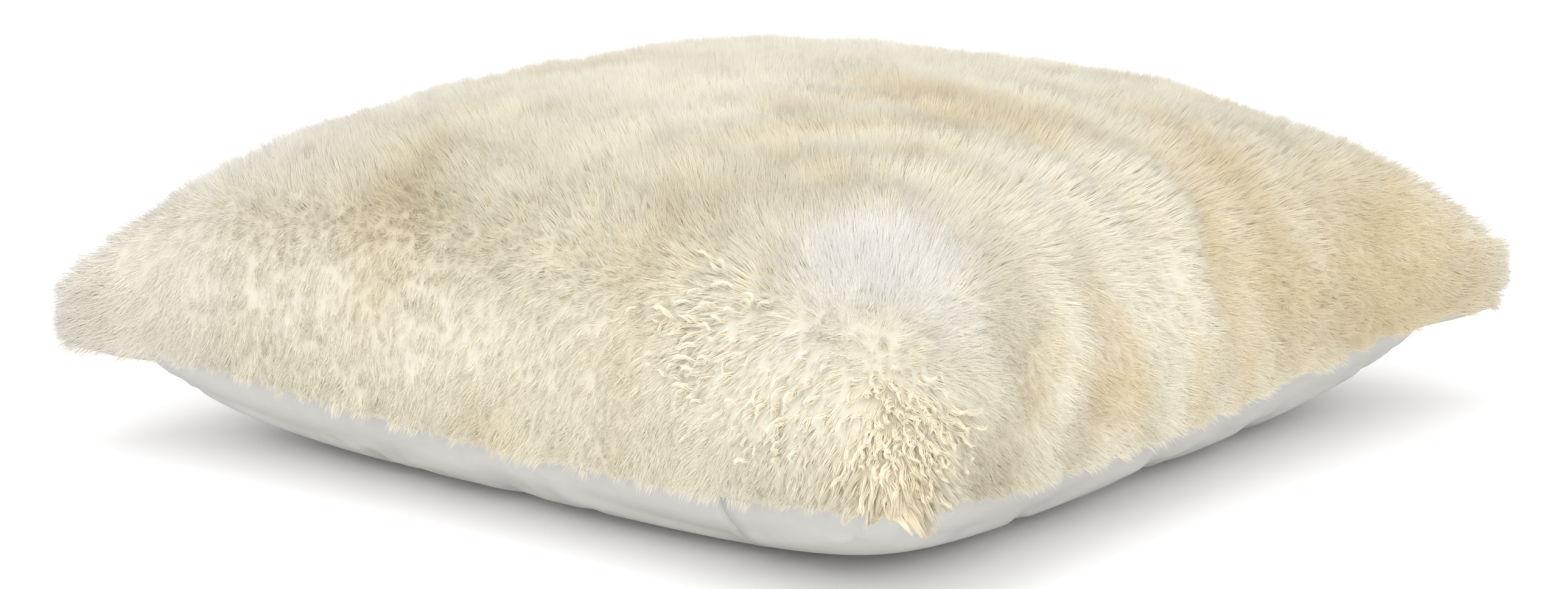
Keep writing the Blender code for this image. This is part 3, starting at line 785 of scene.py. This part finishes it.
cotton = {
    "thickness": 0.0008,
    "zipX": 0.165,
    "zipEnd": 0.1984,
    "slot": 0.0040,
    "closed": 0.00015,
    "closing": 0.010,
    "closingLines": (0.0, 0.0025, 0.005, 0.0075, 0.010),
    "channelFlat": 0.0155,
    "channelSide": 0.025,
    "channelHeight": 0.0059,
    "drop": 0.0003,
    "allowance": 0.010,
    "lines": (118, 44, 150),  # across the main panel, across the flap, along both
    "wallFoot": 0.012,
    "wallHead": 0.010,
    "besideZip": (0.030, 0.045, 0.012),  # held to here, free from here, and how far past its ends
    "moveLimits": (-0.0002, 0.00308),
    "uneven": (0.10, 31, 0.0005),  # size, seed, height
    "seamLine": ((0.165, -0.209, 0.008), (0.165, -0.268, 0.058)),
    "groove": (0.0012, 0.0035),  # depth, width
    "grooveSides": (0.0007, 0.007, 0.004),  # height, distance from the seam, width
    # start, end, width, height of each fold
    "folds": [
        ((0.118, -0.262, 0.050), (0.150, -0.222, 0.010), 0.0075, 0.0016),
        ((0.088, -0.262, 0.046), (0.120, -0.220, 0.008), 0.0090, 0.0013),
        ((0.045, -0.264, 0.044), (0.070, -0.225, 0.010), 0.0100, 0.0010),
        ((0.168, -0.214, 0.004), (0.205, -0.224, 0.006), 0.0070, 0.0022),
        ((0.176, -0.262, 0.048), (0.186, -0.228, 0.012), 0.0060, 0.0010),
        ((-0.060, -0.262, 0.044), (-0.020, -0.228, 0.010), 0.0110, 0.0009),
        ((0.262, -0.060, 0.045), (0.230, -0.010, 0.010), 0.0100, 0.0011),
        ((0.262, 0.060, 0.045), (0.232, 0.100, 0.012), 0.0110, 0.0010),
        ((0.230, -0.215, 0.030), (0.250, -0.245, 0.052), 0.0100, 0.0010),
    ],
}
billow = {
    "lines": 90,
    "pressure": 1.6,
    "shrink": -0.035,
    "frames": 20,
    "quality": 6,
    "mass": 0.2,
    "stiffness": 20.0,
    "bending": 0.3,
    "held": 0.05,
}


def underPoint(u, v):
    x, y = drawnIn(u, v), drawnIn(v, u)
    full = np.minimum(1.0, shape["bellyFull"] * swell(u, v, shape["bellyPower"], shape["bellyRoot"]))
    seam = seamHeight(u, v) - cotton["drop"]
    flatEnd = cotton["channelFlat"]
    away = between(np.abs(x - cotton["zipX"]), flatEnd, flatEnd + cotton["channelSide"])
    z = np.maximum(seam * (1 - full), cotton["channelHeight"] * (1 - away))
    onSeam = np.maximum(np.abs(u), np.abs(v)) > 0.99999
    return np.stack([x, y, np.where(onSeam, seam, z)], axis=-1)


def wallMask(u, v, place):  # 1 on the rising sides, 0 at the seam, on the floor and beside the zip
    z = place[..., 2]
    mask = between(z, 0.0, cotton["wallFoot"]) * between(seamHeight(u, v) - z, 0.0, cotton["wallHead"])
    heldTo, freeFrom, pastEnd = cotton["besideZip"]
    beside = 1 - between(np.abs(place[..., 0] - cotton["zipX"]), heldTo, freeFrom)
    return mask * (1 - beside * (np.abs(place[..., 1]) < cotton["zipEnd"] + pastEnd))


def nearSegment(place, start, end):  # distance from a straight stretch, and how far along it
    start, end = np.array(start), np.array(end)
    share = np.clip(((place - start) @ (end - start)) / np.sum((end - start) ** 2), 0, 1)
    distance = np.linalg.norm(place - (start + share[..., None] * (end - start)), axis=-1)
    return distance, share


def gridPiece(name, place):  # a grid laid through the places, and each vertex's row and column
    steps = np.array(place.shape[:2]) - 1
    deselectAll()
    bpy.ops.mesh.primitive_grid_add(x_subdivisions=int(steps[0]), y_subdivisions=int(steps[1]), size=2.0)
    piece = bpy.context.object
    piece.name = name
    i, j = np.round((pointsOf(piece.data)[:, :2] + 1) / 2 * steps).astype(int).T
    piece.data.vertices.foreach_set("co", place[i, j].ravel())
    piece.data.update()
    return piece, i, j


def billowCloth(place, outward, free):  # how far the cloth moves outwards, held where it isn't free
    cloth, i, j = gridPiece("clothTrial", place)
    startEdit(cloth)
    bpy.ops.mesh.flip_normals()
    endEdit()
    held = cloth.vertex_groups.new(name="held")
    held.add(np.where(free[i, j] < billow["held"])[0].tolist(), 1.0, "REPLACE")
    settings = cloth.modifiers.new("cloth", "CLOTH").settings
    settings.quality = billow["quality"]
    settings.mass = billow["mass"]
    settings.tension_stiffness = settings.compression_stiffness = billow["stiffness"]
    settings.bending_stiffness = billow["bending"]
    settings.use_pressure = True
    settings.uniform_pressure_force = billow["pressure"]
    settings.shrink_min = billow["shrink"]
    settings.vertex_group_mass = held.name
    settings.effector_weights.gravity = 0.0
    for number in range(1, billow["frames"] + 1):
        bpy.context.scene.frame_set(number)
    bpy.ops.object.modifier_apply(modifier="cloth")
    moved = np.zeros(free.shape)
    change = pointsOf(cloth.data) - place[i, j]
    moved[i, j] = np.sum(change * outward[i, j], axis=-1)
    bpy.data.objects.remove(cloth)
    bpy.context.scene.frame_set(1)
    print(f"cloth moved {moved.min() * 1000:.1f} to {moved.max() * 1000:.1f} mm")
    return moved * between(0.8 * free + 0.2, 0.0)


def foldHeights(place):  # folds and slight unevenness, on top of what the cloth did
    size, seed, height = cotton["uneven"]
    folds = softNoise(place.reshape(-1, 3), size, seed)[:, 0].reshape(place.shape[:2]) * height
    for start, end, width, height in cotton["folds"]:
        distance, share = nearSegment(place, start, end)
        folds += height * np.exp(-(distance / width) ** 2) * np.sin(np.pi * np.clip(share, 0.12, 0.88))
    distance, _ = nearSegment(place, *cotton["seamLine"])
    depth, width = cotton["groove"]
    height, apart, sideWidth = cotton["grooveSides"]
    folds -= depth * np.exp(-(distance / width) ** 2)
    folds += height * np.exp(-((distance - apart) / sideWidth) ** 2)
    return folds


def settleCotton():
    lines = np.linspace(-1, 1, billow["lines"] + 1)
    p, q = np.meshgrid(lines, lines, indexing="ij")
    u, v = fromAbove(p), fromAbove(q)
    place = underPoint(u, v)
    outward = -unit(np.cross(np.gradient(place, axis=0), np.gradient(place, axis=1)))
    free = wallMask(u, v, place)
    moved = billowCloth(place, outward, free)
    moved = np.clip(moved + foldHeights(place), *cotton["moveLimits"]) * free
    return moved[..., None], outward


def panelPoints(side, moved, outward):  # one panel of the underside, from the zip's slot to the seam
    mainLines, flapLines, longLines = cotton["lines"]
    slotAt = acrossCloth(cotton["zipX"] + side * cotton["slot"])
    across = np.linspace(-1, slotAt, mainLines) if side < 0 else np.linspace(slotAt, 1, flapLines)
    ends = acrossCloth(cotton["zipEnd"] + np.array(cotton["closingLines"]))
    along = np.unique(np.concatenate([np.linspace(-1, 1, longLines), ends, -ends]).round(6))
    p, q = np.meshgrid(across, along, indexing="ij")
    u, v = fromAbove(p), fromAbove(q)
    place = underPoint(u, v) + unit(readGrid(outward, p, q)) * readGrid(moved, p, q)
    opened = 1 - between(np.abs(drawnIn(v, u)) - cotton["zipEnd"], 0.0, cotton["closing"])
    slot = cotton["closed"] + (cotton["slot"] - cotton["closed"]) * opened
    edge = -1 if side < 0 else 0
    place[edge, :, 0] = cotton["zipX"] + side * slot[edge]
    place[..., 2] = np.maximum(place[..., 2], 0.0)
    return place


def turnedIn(row, axis, moves, limit):  # a row moved in by the allowance, with mitred corners
    row, other = row.copy(), 1 - axis
    row[:, axis] -= np.sign(row[:, axis]) * cotton["allowance"] * moves
    cornerHeight = seamHeight(np.sign(row[:, 0]), np.sign(row[:, 1])) - cotton["drop"]
    row[:, 2] = np.where(np.abs(row[:, other]) > limit, cornerHeight, row[:, 2])
    row[:, other] = np.clip(row[:, other], -limit, limit)
    return row


def withAllowance(place, side):
    limit = shape["half"] - cotton["allowance"]
    ring = turnedIn(place[0 if side < 0 else -1], 0, True, limit)[None]
    place = np.concatenate([ring, place] if side < 0 else [place, ring])
    first, last = (turnedIn(row, 1, np.abs(row[:, 1]) > limit, limit) for row in (place[:, 0], place[:, -1]))
    return np.concatenate([first[:, None], place, last[:, None]], axis=1)


def makePanel(name, side, moved, outward):
    panel, _, _ = gridPiece(name, withAllowance(panelPoints(side, moved, outward), side))
    mesh = panel.data
    startEdit(panel)
    bpy.ops.mesh.remove_doubles(threshold=0.000001)
    bpy.ops.mesh.flip_normals()
    endEdit()
    wall = panel.modifiers.new("thickness", "SOLIDIFY")
    wall.thickness = cotton["thickness"]
    wall.offset = -1.0
    wall.use_quality_normals = True
    bpy.ops.object.modifier_apply(modifier=wall.name)
    mesh.shade_smooth()
    mesh.materials.clear()
    mesh.materials.append(cottonFinish())
    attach(panel, "cover")
    return panel


cottonLook = {
    # painted shade: the cloth's own off-white is darkened here for the shade the underside sits in under the
    # cushion
    "plain": (0.530, 0.520, 0.495, 1.0),
    "pale": (0.565, 0.555, 0.530, 1.0),
    "slub": (0.62, 0.61, 0.58, 1.0),
    "weave": 420.0,
    "slubs": 160.0,
    "patches": 14.0,
}


def cottonFinish():
    if "cottonWeave" in finishes:
        return finishes["cottonWeave"]
    look = Finish("cottonWeave")
    where = look.position()
    warp, weft = (
        look.node("ShaderNodeTexWave", {"bands_direction": way}, output=1,
                  Vector=where, Scale=cottonLook["weave"], Distortion=1.2)
        for way in ("X", "Y"))
    slub = look.noise(where, cottonLook["slubs"], 3.0, 0.6)
    soft = look.noise(where, cottonLook["patches"], 3.0, 0.5)
    colour = look.mix(look.ramp(soft, 0.3, 0.7), cottonLook["plain"], cottonLook["pale"])
    colour = look.mix(look.ramp(slub, 0.45, 0.8) * 0.25, colour, cottonLook["slub"])
    height = (warp * 0.5 + weft * 0.5) * 0.4 + slub * 0.6
    rough = look.ramp(slub, 0.2, 0.8, 0.82, 0.95)
    return look.set(colour=colour, rough=rough, normal=look.bump(height, 0.35, 0.0004), specular=0.15)


moved, outward = settleCotton()
stageDone("cotton settled")
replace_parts(makePanel("baseCottonMain", -1, moved, outward), "base_panel_main")
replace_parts(makePanel("baseCottonFlap", 1, moved, outward), "base_panel_flap")
stageDone("cotton made")


# Small parts of the zip and seams

small = {
    "pitch": 0.0031,
    "stitch": (0.00072, 0.0023, 0.00072),
    "stitchRound": 0.000198,
    "toothPitch": 0.0016,
    "tooth": (0.0024, 0.0009, 0.0016),
    "toothRound": 0.0002,
    "panelSeam": (0.2105, 0.262),  # where its stitches start and end, from the middle
    "besideSeam": 0.0030,
    "stitchLift": 0.0003,
    "steepest": 0.008,
}


def plainFinish(name, colour, rough, grain, spread, metal=0.0):  # grain: scale, strength, depth
    look = Finish(name)
    scale, strength, depth = grain
    patch = look.noise(look.position(), scale, 3.0, 0.6)
    pale = (*(min(1.0, part * (1 + spread)) for part in colour), 1.0)
    deep = (*(part * (1 - spread) for part in colour), 1.0)
    tint = look.mix(look.ramp(patch, 0.3, 0.7), deep, pale)
    roughness = look.ramp(patch, 0.25, 0.75, max(rough - 0.08, 0.05), min(rough + 0.08, 1.0))
    return look.set(colour=tint, rough=roughness, metal=metal, normal=look.bump(patch, strength, depth))


def makeBlock(name, place, size, rounding):
    deselectAll()
    bpy.ops.mesh.primitive_cube_add(size=1.0, location=place)
    block = bpy.context.object
    block.name = name
    block.scale = size
    bpy.ops.object.transform_apply(location=True, rotation=True, scale=True)
    startEdit(block)
    bpy.ops.mesh.bevel(offset=rounding, segments=1, profile=0.5, affect="EDGES")
    endEdit()
    block.data.shade_smooth()
    return block


def rowOfBlocks(name, node, pitch, size, rounding):  # a row down the middle of a CAD node's box
    low, high = (Vector(corner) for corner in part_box(node))
    middle, reach = (low + high) / 2, high.y - low.y
    count = int(reach / pitch)
    first = low.y + (reach - (count - 1) * pitch) / 2
    block = makeBlock(name, (middle.x, first, middle.z), size, rounding)
    row = block.modifiers.new("row", "ARRAY")
    row.count = count
    row.use_relative_offset = False
    row.use_constant_offset = True
    row.constant_offset_displace = (0.0, pitch, 0.0)
    bpy.ops.object.modifier_apply(modifier=row.name)
    return block


def addSmall(piece, material, replaced=None):
    piece.data.materials.append(material)
    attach(piece, "cover")
    if replaced:
        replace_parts(piece, replaced)


thread = plainFinish("sewingThread", (0.66, 0.63, 0.57), 0.75, (900.0, 0.5, 0.0003), 0.10)
coil = plainFinish("nylonCoil", (0.70, 0.68, 0.63), 0.42, (500.0, 0.15, 0.0001), 0.04)
tape = plainFinish("zipTape", (0.64, 0.62, 0.57), 0.85, (700.0, 0.5, 0.0003), 0.08)
nickel = plainFinish("nickelPlate", (0.62, 0.61, 0.59), 0.30, (60.0, 0.05, 0.0001), 0.04, metal=1.0)
label = plainFinish("labelSatin", (0.80, 0.80, 0.79), 0.55, (800.0, 0.3, 0.0002), 0.04)
hide = plainFinish("tannedHide", (0.70, 0.58, 0.42), 0.80, (240.0, 0.5, 0.0006), 0.10)
ticking = plainFinish("tickingCloth", (0.80, 0.80, 0.77), 0.90, (900.0, 0.4, 0.0002), 0.04)
fibre = plainFinish("fibreFill", (0.90, 0.90, 0.90), 1.0, (120.0, 0.9, 0.004), 0.05)

for side in ("main", "flap"):
    node = "zip_coil_" + side
    teeth = rowOfBlocks("coilTeeth_" + side, node, small["toothPitch"], small["tooth"], small["toothRound"])
    addSmall(teeth, coil, node)
    node = "zip_topstitch_" + side
    row = rowOfBlocks("topstitches_" + side, node, small["pitch"], small["stitch"], small["stitchRound"])
    addSmall(row, thread, node)


def seamStitchPlaces():  # up the seam that joins the two panels past the zip's ends
    places = []
    u = (cotton["zipX"] - small["besideSeam"]) / shape["half"]
    length = small["stitch"][1]
    for end in (-1, 1):
        for distance in np.arange(*small["panelSeam"], small["pitch"]):
            ways = (end * (distance + half * length / 2) / shape["half"] for half in (-1, 1))
            first, second = (Vector(underPoint(u, v)) for v in ways)
            if (second - first).length > small["steepest"]:
                continue
            way = (second - first).normalized()
            out = way.cross(Vector((1.0, 0.0, 0.0)))
            out = out if out.z < 0 else -out
            turn = Matrix((way.cross(out), way, out)).transposed().to_4x4()
            places.append(Matrix.Translation((first + second) / 2 + out * small["stitchLift"]) @ turn)
    return places


def makeSeamStitches():
    stitch = makeBlock("panelSeamStitches", (0.0, 0.0, 0.0), small["stitch"], small["stitchRound"])
    first, *others = seamStitchPlaces()
    copies = []
    for place in others:
        copied = bpy.data.objects.new("seamStitch", stitch.data.copy())
        copied.data.transform(place)
        bpy.context.scene.collection.objects.link(copied)
        copies.append(copied)
    stitch.data.transform(first)
    activate(stitch)
    for copied in copies:
        copied.select_set(True)
    bpy.ops.object.join()
    return stitch


addSmall(makeSeamStitches(), thread)

looks = {
    "sheepskin_hide": hide, "perimeter_stitching": thread, "seam_binding": tape, "care_label": label,
    "zip_tape_main": tape, "zip_tape_flap": tape, "zip_top_stop_main": nickel, "zip_top_stop_flap": nickel,
    "zip_bottom_stop": nickel, "bar_tack_front": thread, "bar_tack_rear": thread, "zip_slider": nickel,
    "zip_pull_tab": nickel, "insert_ticking_top": ticking, "insert_ticking_bottom": ticking,
    "insert_stitching": thread, "fibre_filling": fibre,
}
for name, material in looks.items():
    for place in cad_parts[name].material_slots:
        place.material = material
stageDone("small parts made")
